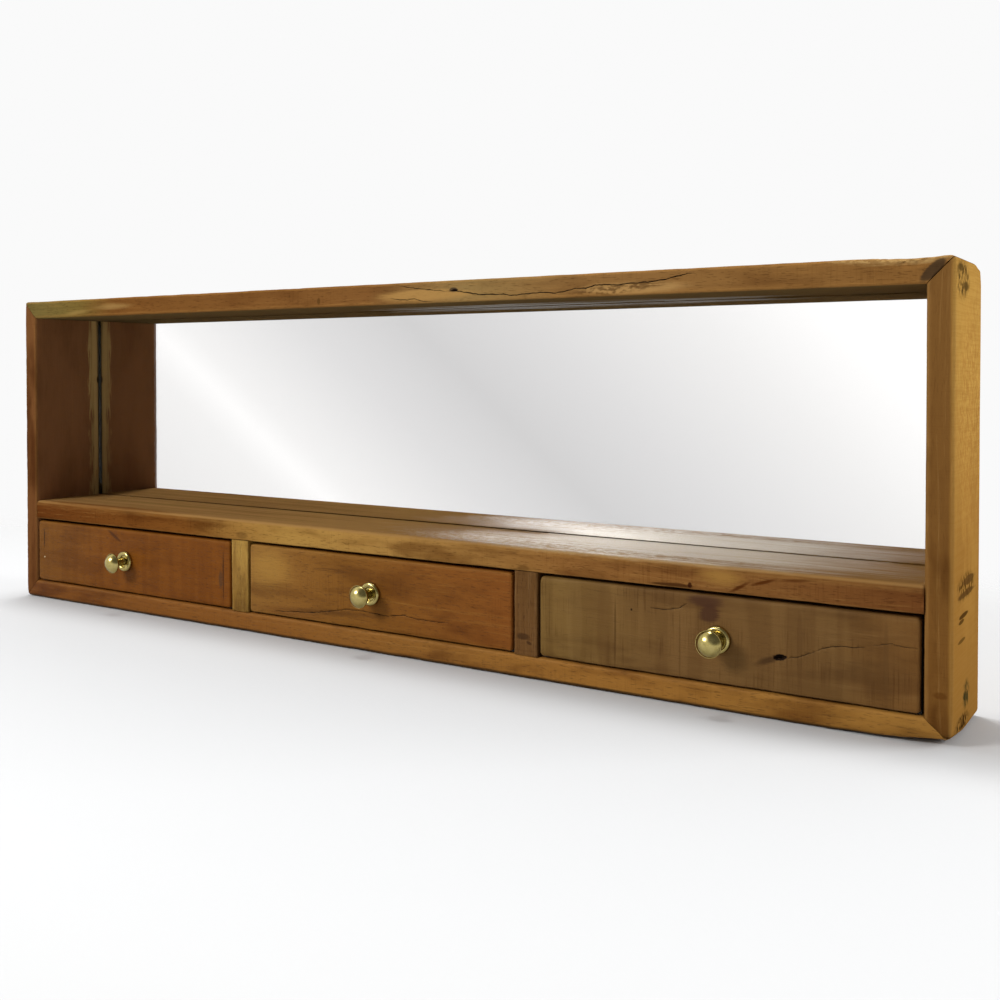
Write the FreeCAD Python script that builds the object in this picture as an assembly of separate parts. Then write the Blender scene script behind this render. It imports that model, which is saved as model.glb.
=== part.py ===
import FreeCAD, Part
import math
import os

# Wall mirror in a deep mitred frame, with a shelf and a row of drawers under it.
# Millimetres. +Z is up, the front faces -Y, and the origin is the middle of the underside.

# Frame of four mitred boards
width = 1200.0
height = 400.0
depth = 110.0
board = 23.0  # thickness of each frame board
front_arris = 3.0  # eased front edges

# Corners of the frame, sanded round by hand
top_left_round = 4.0
bottom_left_round = 8.0
bottom_right_round = 8.0
top_right_round = 5.0

# Two steps cut round the back of the opening: a wide one for the panel, a narrow one for the glass
panel_thickness = 3.0
panel_inset = 1.0  # the panel stays this far inside the rear edges
panel_lap = 8.0
panel_gap = 0.5
glass_thickness = 4.0
glass_lap = 3.5
glass_gap = 1.0

# Shelf and dividers
shelf_thickness = 24.0
shelf_round = 6.0  # top front edge
shelf_under_arris = 2.0
divider_thickness = 27.0
divider_arris = 1.5

# Loose tongues in the mitres
tongue_width = 16.0
tongue_thickness = 4.0
tongue_end_margin = 14.0  # from the front, and from the glass step
tongue_slack = 0.15

# Dowels of the shelf and the dividers
dowel_radius = 4.0
dowel_inset = 28.0  # from the front, and from the panel
shelf_dowel_length = 34.0
divider_dowel_length = 24.0
dowel_slack = 0.15  # on the radius
dowel_end_slack = 1.0  # at each end

# Keyhole slots routed in the rear edges of the side boards, to hang the frame on two wall screws
keyhole_radius = 4.5
keyhole_slot_radius = 2.3
keyhole_rise = 12.0
keyhole_lip = 3.5  # wood left over the screw head
keyhole_depth = 9.0
keyhole_drop = 70.0  # from the top of the frame

# Drawers
drawer_places = ["left", "middle", "right"]
opening_height = 84.0
drawer_setback = 0.5  # front face behind the frame's front
drawer_end_gap = 2.5
drawer_top_gap = 3.0
drawer_foot_gap = 1.5  # under the front
drawer_rear_gap = 0.5
running_gap = 0.3  # under the sides
front_thickness = 14.0
front_corner = 5.0
drawer_front_arris = 2.5
side_thickness = 10.0
side_drop = 6.0  # sides stay this far under the shelf
front_lip = 6.0  # wood left in front of the side boards
rear_thickness = 10.0
rear_housing = 5.0  # depth of the step that takes the rear board
bottom_thickness = 4.0
bottom_rise = 6.0  # groove over the lower edge of the sides
bottom_groove = 4.0
bottom_slack = 0.1
bottom_end_slack = 0.5

# Knob and its hollow rose, as distances from the drawer's face
outer_knob_shift = 5.0  # the outer knobs sit this far out from the middle of their drawers
rose_radius = 12.9
rose_ring = 3.0  # radius of the rounded ring round the hollow
rose_height = 4.6
collar_radius = 5.2
collar_height = 3.8
neck_radius = 4.2
neck_middle = 9.5
knob_underside = 18.4
knob_rim_radius = 12.3
rim_front = 21.6
rim_thickness = 1.5
dome_radius = 12.0
dome_height = 7.0

# Screw that holds the knob from inside the drawer
screw_radius = 2.0
screw_slack = 0.2
screw_head_radius = 4.0
screw_head_height = 2.6
screw_grip = 8.0  # length in the knob
screw_end_slack = 1.0

# Places worked out from the sizes above
front_y = -depth / 2
rear_y = depth / 2
panel_rear_y = rear_y - panel_inset
panel_front_y = panel_rear_y - panel_thickness
glass_front_y = panel_front_y - glass_thickness
inner_x = width / 2 - board
inner_top_z = height - board
shelf_low_z = board + opening_height
shelf_top_z = shelf_low_z + shelf_thickness
shelf_middle_z = shelf_low_z + shelf_thickness / 2
drawer_count = len(drawer_places)
opening_width = (2 * inner_x - (drawer_count - 1) * divider_thickness) / drawer_count
opening_pitch = opening_width + divider_thickness
opening_x = [(i - (drawer_count - 1) / 2) * opening_pitch for i in range(drawer_count)]
divider_x = [x + opening_pitch / 2 for x in opening_x[:-1]]
knob_x = [x + outer_knob_shift * x / opening_pitch for x in opening_x]
rose_floor = rose_height - rose_ring
rose_floor_radius = rose_radius - 2 * rose_ring
dowel_y = [front_y + dowel_inset, panel_front_y - dowel_inset]
beyond = 1.0  # how far a cutting tool runs past the face it opens


def vector(x, y, z):
    return FreeCAD.Vector(x, y, z)


def block(x_range, y_range, z_range):
    low = vector(x_range[0], y_range[0], z_range[0])
    size = [high - start for start, high in (x_range, y_range, z_range)]
    return Part.makeBox(size[0], size[1], size[2], low)


def rod(radius, start, direction, length):
    return Part.makeCylinder(radius, length, start, direction)


def edges_within(shape, y_range=None, z_range=None, along_y=False):
    # Edges that lie inside the given ranges, or the straight ones that run from front to back
    near = 1e-4
    found = []
    for edge in shape.Edges:
        box = edge.BoundBox
        if along_y and max(box.XLength, box.ZLength) > near:
            continue
        if y_range and not (y_range[0] - near < box.YMin and box.YMax < y_range[1] + near):
            continue
        if z_range and not (z_range[0] - near < box.ZMin and box.ZMax < z_range[1] + near):
            continue
        found.append(edge)
    return found


def cut_all(shape, tools):
    return shape.cut(Part.makeCompound(tools)) if tools else shape


def save(name, shapes):
    shape = shapes[0] if len(shapes) == 1 else Part.makeCompound(shapes)
    shape.exportStep(f"parts/{name}.step")


# Frame

def rounded_outline():
    outline = block((-width / 2, width / 2), (front_y, rear_y), (0, height))
    corners = [
        (-width / 2, height, top_left_round),
        (-width / 2, 0, bottom_left_round),
        (width / 2, 0, bottom_right_round),
        (width / 2, height, top_right_round),
    ]
    for x, z, radius in corners:
        corner = vector(x, 0, z)
        edges = [edge for edge in edges_within(outline, along_y=True) if edge.CenterOfMass.isEqual(corner, 1e-4)]
        outline = outline.makeFillet(radius, edges)
    return outline


def frame_ring():
    # The glued-up frame, rounded outside, eased along the front and stepped round the back
    through = (front_y - beyond, rear_y + beyond)
    ring = rounded_outline().cut(block((-inner_x, inner_x), through, (board, inner_top_z)))
    ring = ring.makeFillet(front_arris, edges_within(ring, y_range=(front_y, front_y)))
    steps = []
    for lap, step_front in ((panel_lap, panel_front_y), (glass_lap, glass_front_y)):
        reach = inner_x + lap
        steps.append(block((-reach, reach), (step_front, rear_y + beyond), (board - lap, inner_top_z + lap)))
    return cut_all(ring, steps)


def mitre_wedge(side):
    # The part of the frame's outline that one board fills, between the 45 degree lines of its corners
    half = height / 2
    left, right = -width / 2, width / 2
    corners = {
        "top": [(left, height), (right, height), (right - half, half), (left + half, half)],
        "bottom": [(left, 0), (right, 0), (right - half, half), (left + half, half)],
        "left": [(left, 0), (left, height), (left + half, half)],
        "right": [(right, 0), (right, height), (right - half, half)],
    }[side]
    points = [vector(x, front_y, z) for x, z in corners]
    return Part.Face(Part.makePolygon(points + points[:1])).extrude(vector(0, depth, 0))


def tongue(x_side, z_side, slack=0.0):
    # Lies across the mitre of one corner, half of it in each board
    wide = tongue_width / 2 + slack
    thick = tongue_thickness / 2 + slack
    y_range = (front_y + tongue_end_margin - slack, glass_front_y - tongue_end_margin + slack)
    piece = block((-wide, wide), y_range, (-thick, thick))
    piece.rotate(vector(0, 0, 0), vector(0, 1, 0), 45 * x_side * z_side)
    middle_z = board / 2 if z_side < 0 else height - board / 2
    piece.translate(vector(x_side * (width / 2 - board / 2), 0, middle_z))
    return piece


def tongues(slack=0.0):
    return [tongue(x_side, z_side, slack) for x_side in (-1, 1) for z_side in (-1, 1)]


def keyhole(x_side):
    # A round hole for the screw head, a slot up from it for the shank and an undercut for the head
    rear_width = board - panel_lap
    x = x_side * (width / 2 - rear_width / 2)
    z = height - keyhole_drop
    floor_y = rear_y - keyhole_depth
    lip_y = rear_y - keyhole_lip

    def routed(radius, start_y, end_y):
        run = vector(x, start_y, z)
        top = vector(x, start_y, z + keyhole_rise)
        path = block((x - radius, x + radius), (start_y, end_y), (z, z + keyhole_rise))
        ends = [rod(radius, place, vector(0, 1, 0), end_y - start_y) for place in (run, top)]
        return path.fuse(ends)

    slot = routed(keyhole_slot_radius, floor_y, rear_y + beyond)
    undercut = routed(keyhole_radius, floor_y, lip_y)
    entry = rod(keyhole_radius, vector(x, floor_y, z), vector(0, 1, 0), keyhole_depth + beyond)
    return slot.fuse([undercut, entry]).removeSplitter()


def frame_boards():
    ring = cut_all(frame_ring(), tongues(tongue_slack) + shelf_dowels(dowel_slack))
    ring = cut_all(ring, divider_dowels(dowel_slack) + [keyhole(-1), keyhole(1)])
    return {side: ring.common(mitre_wedge(side)).Solids[0] for side in ("top", "bottom", "left", "right")}


# Shelf, dividers, glass and panel

def shelf_dowels(slack=0.0):
    pieces = []
    length = shelf_dowel_length + (2 * dowel_end_slack if slack else 0)
    for x_side in (-1, 1):
        for y in dowel_y:
            start = vector(x_side * inner_x - length / 2, y, shelf_middle_z)
            pieces.append(rod(dowel_radius + slack, start, vector(1, 0, 0), length))
    return pieces


def divider_dowels(slack=0.0):
    pieces = []
    length = divider_dowel_length + (2 * dowel_end_slack if slack else 0)
    for x in divider_x:
        for z in (board, shelf_low_z):
            for y in dowel_y:
                start = vector(x, y, z - length / 2)
                pieces.append(rod(dowel_radius + slack, start, vector(0, 0, 1), length))
    return pieces


def shelf():
    plank = block((-inner_x, inner_x), (front_y, panel_front_y), (shelf_low_z, shelf_top_z))
    front = (front_y, front_y)
    plank = plank.makeFillet(shelf_round, edges_within(plank, front, (shelf_top_z, shelf_top_z)))
    plank = plank.makeFillet(shelf_under_arris, edges_within(plank, front, (shelf_low_z, shelf_low_z)))
    step_z = shelf_top_z - glass_lap
    glass_step = block((-inner_x, inner_x), (glass_front_y, rear_y), (step_z, shelf_top_z + beyond))
    return cut_all(plank, [glass_step] + shelf_dowels(dowel_slack) + divider_dowels(dowel_slack))


def divider(x):
    half = divider_thickness / 2
    post = block((x - half, x + half), (front_y, panel_front_y), (board, shelf_low_z))
    front = edges_within(post, (front_y, front_y))
    uprights = [edge for edge in front if edge.BoundBox.ZLength > divider_thickness]
    return cut_all(post.makeFillet(divider_arris, uprights), divider_dowels(dowel_slack))


def mirror_glass():
    # Stands on the step of the shelf and is held at the sides and the top by the steps of the frame
    reach = inner_x + glass_lap - glass_gap
    z_range = (shelf_top_z - glass_lap, inner_top_z + glass_lap - glass_gap)
    return block((-reach, reach), (glass_front_y, panel_front_y), z_range)


def back_panel():
    margin = panel_lap - panel_gap
    reach = inner_x + margin
    return block((-reach, reach), (panel_front_y, panel_rear_y), (board - margin, inner_top_z + margin))


# Drawers

drawer_half = opening_width / 2 - drawer_end_gap
drawer_front_y = front_y + drawer_setback
drawer_rear_y = panel_front_y - drawer_rear_gap
front_back_y = drawer_front_y + front_thickness
front_z = (board + drawer_foot_gap, shelf_low_z - drawer_top_gap)
side_z = (board + running_gap, shelf_low_z - side_drop)
bottom_z = board + running_gap + bottom_rise
knob_z = (front_z[0] + front_z[1]) / 2


def bottom_groove_tool(x):
    # The groove that holds the drawer bottom, as one slab wider than the bottom on every side
    reach = drawer_half - side_thickness + bottom_groove
    y_range = (front_back_y - bottom_groove, drawer_rear_y + beyond)
    z_range = (bottom_z - bottom_slack, bottom_z + bottom_thickness + bottom_slack)
    return block((x - reach, x + reach), y_range, z_range)


def drawer_front(x, screw_x):
    face = block((x - drawer_half, x + drawer_half), (drawer_front_y, front_back_y), front_z)
    face = face.makeFillet(front_corner, edges_within(face, along_y=True))
    face = face.makeFillet(drawer_front_arris, edges_within(face, (drawer_front_y, drawer_front_y)))
    housings = []
    for x_side in (-1, 1):
        ends = sorted((x + x_side * (drawer_half - side_thickness), x + x_side * (drawer_half + beyond)))
        y_range = (drawer_front_y + front_lip, front_back_y + beyond)
        housings.append(block(ends, y_range, (0, height)))
    hole_start = vector(screw_x, drawer_front_y - beyond, knob_z)
    hole = rod(screw_radius + screw_slack, hole_start, vector(0, 1, 0), front_thickness + 2 * beyond)
    return cut_all(face, housings + [bottom_groove_tool(x), hole])


def drawer_side(x, x_side):
    ends = sorted((x + x_side * (drawer_half - side_thickness), x + x_side * drawer_half))
    plank = block(ends, (drawer_front_y + front_lip, drawer_rear_y), side_z)
    return cut_all(plank, [rear_housing_tool(x), bottom_groove_tool(x)])


def rear_housing_tool(x):
    reach = drawer_half - side_thickness + rear_housing
    return block((x - reach, x + reach), (drawer_rear_y - rear_thickness, drawer_rear_y + beyond), (0, height))


def drawer_rear(x):
    # Stands on the bottom and is let into the ends of the sides
    reach = drawer_half - side_thickness + rear_housing
    z_range = (bottom_z + bottom_thickness, side_z[1])
    return block((x - reach, x + reach), (drawer_rear_y - rear_thickness, drawer_rear_y), z_range)


def drawer_bottom(x):
    reach = drawer_half - side_thickness + bottom_groove - bottom_end_slack
    y_range = (front_back_y - bottom_groove + bottom_end_slack, drawer_rear_y)
    return block((x - reach, x + reach), y_range, (bottom_z, bottom_z + bottom_thickness))


# Knobs

class Outline:
    # A half section as (radius, distance from the drawer's face), drawn with lines and three-point arcs

    def __init__(self, radius, out):
        self.at = (radius, out)
        self.edges = []

    def point(self, place):
        return vector(place[0], -place[1], 0)

    def line(self, radius, out):
        self.edges.append(Part.makeLine(self.point(self.at), self.point((radius, out))))
        self.at = (radius, out)
        return self

    def arc(self, middle, end):
        self.edges.append(Part.Arc(self.point(self.at), self.point(middle), self.point(end)).toShape())
        self.at = end
        return self

    def turned(self, x):
        face = Part.Face(Part.Wire(self.edges))
        solid = face.revolve(vector(0, 0, 0), vector(0, 1, 0), 360)
        solid.translate(vector(x, drawer_front_y, knob_z))
        return solid


def cap_middle(radius, rise):
    # Half way along the arc of a spherical cap, as its radius and its height over the cap's edge
    sphere = (radius ** 2 + rise ** 2) / (2 * rise)
    half_angle = math.asin(radius / sphere) / 2
    return sphere * math.sin(half_angle), sphere * math.cos(half_angle) - (sphere - rise)


def rose(x):
    bore = screw_radius + screw_slack
    half_section = Outline(bore, 0)
    half_section.line(rose_radius, 0).line(rose_radius, rose_floor)
    half_section.arc((rose_radius - rose_ring, rose_height), (rose_floor_radius, rose_floor))
    half_section.line(bore, rose_floor).line(bore, 0)
    return half_section.turned(x)


def knob(x):
    bore = screw_radius + screw_slack
    bore_end = rose_floor + screw_grip + screw_end_slack
    rim_back = rim_front - rim_thickness
    half_section = Outline(0, bore_end)
    half_section.line(bore, bore_end).line(bore, rose_floor)
    half_section.line(collar_radius, rose_floor).line(collar_radius, collar_height)
    half_section.arc((neck_radius, neck_middle), (neck_radius + rim_thickness, knob_underside - rim_thickness))
    half_section.line(knob_rim_radius, rim_back).line(knob_rim_radius, rim_front)
    half_section.line(dome_radius, rim_front)
    dome_radial, dome_out = cap_middle(dome_radius, dome_height)
    half_section.arc((dome_radial, rim_front + dome_out), (0, rim_front + dome_height))
    half_section.line(0, bore_end)
    return half_section.turned(x)


def knob_screw(x):
    # A pan head inside the drawer, and a shank through the front and the rose into the knob
    shank_end = rose_floor + screw_grip
    half_section = Outline(0, -front_thickness - screw_head_height)
    head_radial, head_out = cap_middle(screw_head_radius, screw_head_height)
    half_section.arc((head_radial, -front_thickness - head_out), (screw_head_radius, -front_thickness))
    half_section.line(screw_radius, -front_thickness).line(screw_radius, shank_end)
    half_section.line(0, shank_end).line(0, -front_thickness - screw_head_height)
    return half_section.turned(x)


def main():
    os.makedirs("parts", exist_ok=True)
    for side, shape in frame_boards().items():
        save(f"{side}_board", [shape])
    save("mitre_tongues", tongues())
    save("shelf", [shelf()])
    save("shelf_dowels", shelf_dowels())
    for place, x in zip(("left", "right"), divider_x):
        save(f"{place}_divider", [divider(x)])
    save("divider_dowels", divider_dowels())
    save("mirror_glass", [mirror_glass()])
    save("back_panel", [back_panel()])
    for place, x, screw_x in zip(drawer_places, opening_x, knob_x):
        drawer = f"{place}_drawer"
        save(f"{drawer}_front", [drawer_front(x, screw_x)])
        save(f"{drawer}_left_side", [drawer_side(x, -1)])
        save(f"{drawer}_right_side", [drawer_side(x, 1)])
        save(f"{drawer}_rear", [drawer_rear(x)])
        save(f"{drawer}_bottom", [drawer_bottom(x)])
        save(f"{drawer}_rose", [rose(screw_x)])
        save(f"{drawer}_knob", [knob(screw_x)])
        save(f"{drawer}_knob_screw", [knob_screw(screw_x)])


main()
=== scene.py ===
import math
from functools import partial
import bmesh
import bpy
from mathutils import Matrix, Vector, noise


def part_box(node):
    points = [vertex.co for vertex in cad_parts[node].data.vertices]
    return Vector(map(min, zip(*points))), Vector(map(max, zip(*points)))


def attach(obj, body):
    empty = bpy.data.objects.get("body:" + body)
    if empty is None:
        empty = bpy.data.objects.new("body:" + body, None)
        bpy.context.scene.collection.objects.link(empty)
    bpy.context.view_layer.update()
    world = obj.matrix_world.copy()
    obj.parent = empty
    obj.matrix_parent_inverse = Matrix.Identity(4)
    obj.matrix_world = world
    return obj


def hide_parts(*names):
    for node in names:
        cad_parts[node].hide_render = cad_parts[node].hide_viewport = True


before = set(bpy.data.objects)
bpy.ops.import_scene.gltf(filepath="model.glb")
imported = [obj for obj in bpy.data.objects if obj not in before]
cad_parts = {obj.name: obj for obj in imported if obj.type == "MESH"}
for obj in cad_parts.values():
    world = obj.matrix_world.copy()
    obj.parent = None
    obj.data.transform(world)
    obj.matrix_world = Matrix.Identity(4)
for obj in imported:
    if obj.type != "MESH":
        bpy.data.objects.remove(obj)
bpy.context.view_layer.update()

mm = 0.001
places = ("left", "middle", "right")
print("frame loaded:", len(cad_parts), "nodes")

# sizes of the case in mm, read from the frame
caseWidth = (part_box("right_board")[1].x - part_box("left_board")[0].x) / mm
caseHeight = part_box("top_board")[1].z / mm
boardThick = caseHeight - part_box("top_board")[0].z / mm
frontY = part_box("shelf")[0].y / mm
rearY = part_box("top_board")[1].y / mm
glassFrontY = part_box("mirror_glass")[0].y / mm
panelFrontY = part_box("back_panel")[0].y / mm
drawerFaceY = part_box("left_drawer_front")[0].y / mm


def linear(hexColour):  # sRGB hex to the linear values that sockets take
    parts = [int(hexColour[i:i + 2], 16) / 255 for i in (0, 2, 4)]
    return [c / 12.92 if c <= 0.04045 else ((c + 0.055) / 1.055) ** 2.4 for c in parts] + [1.0]


def addNode(tree, kind, settings={}, inputs=(), stops=()):  # one node with its settings and links
    node = tree.nodes.new("ShaderNode" + kind)
    for key, value in settings.items():
        setattr(node, key, value)
    for key, value in inputs.items() if isinstance(inputs, dict) else enumerate(inputs):
        if isinstance(value, bpy.types.Node):
            value = next(out for out in value.outputs if out.enabled)
        if isinstance(value, bpy.types.NodeSocket):
            tree.links.new(value, node.inputs[key])
        else:
            node.inputs[key].default_value = value
    for i, (place, colour) in enumerate(stops):
        if i >= len(node.color_ramp.elements):
            node.color_ramp.elements.new(place)
        element = node.color_ramp.elements[i]
        element.position = place
        element.color = linear(colour) if isinstance(colour, str) else (colour, colour, colour, 1.0)
    return node


def emptyMaterial(name):
    material = bpy.data.materials.new(name)
    material.use_nodes = True
    material.node_tree.nodes.clear()
    return material, material.node_tree


def finishMaterial(tree, inputs):
    shader = addNode(tree, "BsdfPrincipled", {}, inputs)
    addNode(tree, "OutputMaterial", {}, [shader])


multiply = {"operation": "MULTIPLY"}
addUp = {"operation": "ADD"}
scaleAdd = {"operation": "MULTIPLY_ADD"}
smooth = {"interpolation_type": "SMOOTHSTEP"}
mixColour = {"data_type": "RGBA"}

# noise drawn out along the grain: length and width in mm, and detail; fibres and pores are drawn coarse,
# and saw and band run across the grain
woodLayers = {"streak": (380.0, 7.5, 3.0), "fibre": (30.0, 1.3, 5.0), "pore": (9.0, 1.0, 1.0),
              "cloud": (120.0, 34.0, 3.0), "uneven": (600.0, 22.0, 2.0), "sawPatch": (70.0, 45.0, 2.0),
              "fleck": (7.0, 3.5, 2.0), "saw": (1.8, 60.0, 2.0), "band": (17.0, 220.0, 1.0)}
# how the grain wanders, in mm: a shift for each seed, length and width of the waves, and how far they reach
grainWander = {"seedStep": (731.0, 137.0, 59.0), "waveMm": (230, 55, 55), "reachMm": 90.0}
ringShape = {"taper": 0.03, "wobble": 2.6}  # rings narrow slowly along the board

# what every board starts from; each board's own dictionary changes some of it
oiledLook = {
    "seed": 1, "order": "XZY", "span": (-600, 600), "wander": 14.0, "pith": (0.0, 70.0, -40.0), "ringMm": 6.5,
    "ring": 0.3, "streak": 0.45, "fibre": 0.4, "darkAt": 0.53, "lightAt": 0.6, "darkMost": 0.7, "lightMost": 0.45,
    "pores": 0.4, "dark": "3c200c", "light": "a87a40", "tones": ((0.0, "7d5228"), (1.0, "7d5228")), "stain": 0.6,
    "stainColour": "8a6646", "saw": 0.5, "sawColour": "a58766", "band": 0.0, "bandColour": "ab9478", "bump": 0.6,
    "rough": 0.5, "gloss": 0.08, "sheenColour": "f4e3c6", "rub": 0.4, "marks": (), "dents": ()}


def blot(at, half, colour, strength, **more):  # a mark: centre and half size in mm, along, across and in depth
    usual = {"turn": 0.0, "torn": 0.6, "soft": 0.5}  # degrees, then how ragged and how soft its edge is
    return {"at": at, "half": half, "colour": colour, "strength": strength, **usual, **more}


# Reclaimed hardwood, planed, sanded and oiled. The eye gets a warm brown that wanders along each board,
# soft growth lines, short open pores, faint saw lines across the grain and a satin skin.
def oiledBoard(name, look):
    material, tree = emptyMaterial(name)
    add = partial(addNode, tree)
    spot = add("TexCoord").outputs["Object"]
    point = add("VectorMath", {"operation": "SCALE"}, {0: spot, "Scale": 1 / mm})
    axes = add("SeparateXYZ", {}, [point])
    plain = add("CombineXYZ", {}, [axes.outputs[letter] for letter in look["order"]])  # along, across, depth
    offset = Vector(grainWander["seedStep"]) * look["seed"]
    moved = add("VectorMath", addUp, [plain, offset])
    broad = add("VectorMath", multiply, [moved, [1 / size for size in grainWander["waveMm"]]])
    wander = add("TexNoise", {}, {"Vector": broad, "Scale": 1.0, "Detail": 2.0})
    reach = Vector((grainWander["reachMm"], look["wander"], look["wander"]))
    shift = add("VectorMath", scaleAdd, [wander.outputs["Color"], reach, reach * -0.5])
    grain = add("VectorMath", addUp, [moved, shift])
    layers = {}
    for key, (longMm, wideMm, detail) in woodLayers.items():
        source = moved if longMm < wideMm else grain  # tool marks run straight
        drawn = add("VectorMath", multiply, [source, (1 / longMm, 1 / wideMm, 1 / wideMm)])
        layers[key] = add("TexNoise", {}, {"Vector": drawn, "Scale": 1.0, "Detail": detail, "Roughness": 0.6})
    # growth rings round a pith outside the board
    taper, wobble = ringShape["taper"], ringShape["wobble"]
    near = add("VectorMath", multiply, [grain, (taper, 1.0, 1.0)])
    pith = offset + Vector(look["pith"])
    fromPith = add("VectorMath", {"operation": "SUBTRACT"}, [near, (pith.x * taper, pith.y, pith.z)])
    radius = add("VectorMath", {"operation": "LENGTH"}, [fromPith])
    count = add("Math", {"operation": "DIVIDE"}, [radius, look["ringMm"]])
    ringAt = add("Math", {"operation": "FRACT"}, [add("Math", scaleAdd, [layers["uneven"], wobble, count])])
    ring = add("ValToRGB", {}, [ringAt], stops=((0.0, 0.62), (0.45, 0.56), (0.86, 0.2), (1.0, 0.6)))
    tone = add("Math", multiply, [ring, look["ring"]])
    for key in ("streak", "fibre"):
        tone = add("Math", scaleAdd, [layers[key], look[key], tone])
    # base tone along the board, then the grain's darks and lights, pores and stains
    along = add("SeparateXYZ", {}, [grain])
    low, high = look["span"]
    alongPart = add("MapRange", {}, [along.outputs[0], offset.x + low, offset.x + high, 0.0, 1.0])
    colour = add("ValToRGB", {}, [alongPart], stops=look["tones"])
    darkness = add("MapRange", smooth, [tone, look["darkAt"], look["darkAt"] - 0.3, 0.0, look["darkMost"]])
    colour = add("Mix", mixColour, {0: darkness, 6: colour, 7: linear(look["dark"])})
    lightness = add("MapRange", smooth, [tone, look["lightAt"], look["lightAt"] + 0.25, 0.0, look["lightMost"]])
    colour = add("Mix", mixColour, {0: lightness, 6: colour, 7: linear(look["light"])})
    stain = add("MapRange", smooth, [layers["cloud"], 0.46, 0.68, 0.0, look["stain"]])
    colour = add("Mix", {**mixColour, "blend_type": "MULTIPLY"}, {0: stain, 6: colour, 7: linear(look["stainColour"])})
    pores = add("MapRange", smooth, [layers["pore"], 0.6, 0.7, 0.0, look["pores"]])
    colour = add("Mix", mixColour, {0: pores, 6: colour, 7: linear(look["dark"])})
    # saw lines and broader planer bands across the grain, in patches
    sawPatch = add("MapRange", smooth, [layers["sawPatch"], 0.42, 0.6, 0.1 * look["saw"], look["saw"]])
    sawLine = add("MapRange", smooth, [layers["saw"], 0.5, 0.68, 0.0, 1.0])
    saw = add("Math", multiply, [sawLine, sawPatch])
    colour = add("Mix", {**mixColour, "blend_type": "MULTIPLY"}, {0: saw, 6: colour, 7: linear(look["sawColour"])})
    band = add("MapRange", smooth, [layers["band"], 0.42, 0.6, 0.0, look["band"]])
    colour = add("Mix", {**mixColour, "blend_type": "MULTIPLY"}, {0: band, 6: colour, 7: linear(look["bandColour"])})
    roughness = add("MapRange", smooth, [tone, 0.2, 0.8, look["rough"] + 0.1, look["rough"] - 0.06])
    gloss = look["gloss"]
    # blots with a ragged edge: stains, knots, sapwood, and on some faces painted light, painted shade and painted sheen
    ragged = add("Math", addUp, [layers["fibre"], layers["cloud"]])
    for mark in look["marks"]:
        turn = math.radians(mark["turn"])
        local = add("Mapping", {"vector_type": "TEXTURE"},
                    {"Vector": plain, "Location": mark["at"], "Rotation": (0.0, 0.0, turn), "Scale": mark["half"]})
        far = add("VectorMath", {"operation": "LENGTH"}, [local])
        torn, soft = mark["torn"], mark["soft"]
        edge = add("Math", scaleAdd, [ragged, torn, far])
        amount = add("MapRange", smooth, [edge, 1.0 + torn - soft, 1.0 + torn, mark["strength"], 0.0])
        if "grained" in mark:  # only where this layer of the grain is high
            patchy = add("MapRange", smooth, [layers[mark["grained"]], 0.42, 0.58, 0.0, 1.0])
            amount = add("Math", multiply, [amount, patchy])
        colour = add("Mix", mixColour, {0: amount, 6: colour, 7: linear(mark["colour"])})
        if "rough" in mark:
            roughness = add("Mix", {"data_type": "FLOAT"}, {0: amount, 2: roughness, 3: mark["rough"]})
        if "gloss" in mark:
            gloss = add("Mix", {"data_type": "FLOAT"}, {0: amount, 2: gloss, 3: mark["gloss"]})
    # arrises rubbed light, from the mesh's own wear
    worn = add("Attribute", {"attribute_name": "wear"})
    fibreShare = add("MapRange", smooth, [layers["fibre"], 0.3, 0.65, 0.05, look["rub"]])
    rub = add("Math", multiply, [worn.outputs["Fac"], fibreShare])
    colour = add("Mix", mixColour, {0: rub, 6: colour, 7: linear(look["light"])})
    hollow = add("Math", scaleAdd, [pores, -1.6, layers["fibre"]])
    height = add("Math", scaleAdd, [saw, -0.8, hollow])
    bump = add("Bump", {}, {"Strength": look["bump"], "Distance": 0.0005, "Height": height})
    finishMaterial(tree, {"Base Color": colour, "Roughness": roughness, "Normal": bump,
                          "Specular IOR Level": gloss, "Specular Tint": linear(look["sheenColour"])})
    return material


# Old fracture in dry wood with no oil left in it, inside cracks, knot holes and cut slots: a matt, nearly black brown
# that is partly the split wood's own colour and partly painted shade of the hollow.
def splitWoodShade():
    material, tree = emptyMaterial("split_wood_painted_shade")
    add = partial(addNode, tree)
    spot = add("TexCoord").outputs["Object"]
    grit = add("TexNoise", {}, {"Vector": spot, "Scale": 1 / (2.5 * mm), "Detail": 3.0})  # torn fibres 2 to 3 mm
    colour = add("ValToRGB", {}, [grit], stops=((0.35, "100804"), (0.7, "33200f")))
    bump = add("Bump", {}, {"Strength": 0.6, "Distance": 0.0006, "Height": grit})
    finishMaterial(tree, {"Base Color": colour, "Roughness": 0.9, "Normal": bump, "Specular IOR Level": 0.15})
    return material


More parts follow.
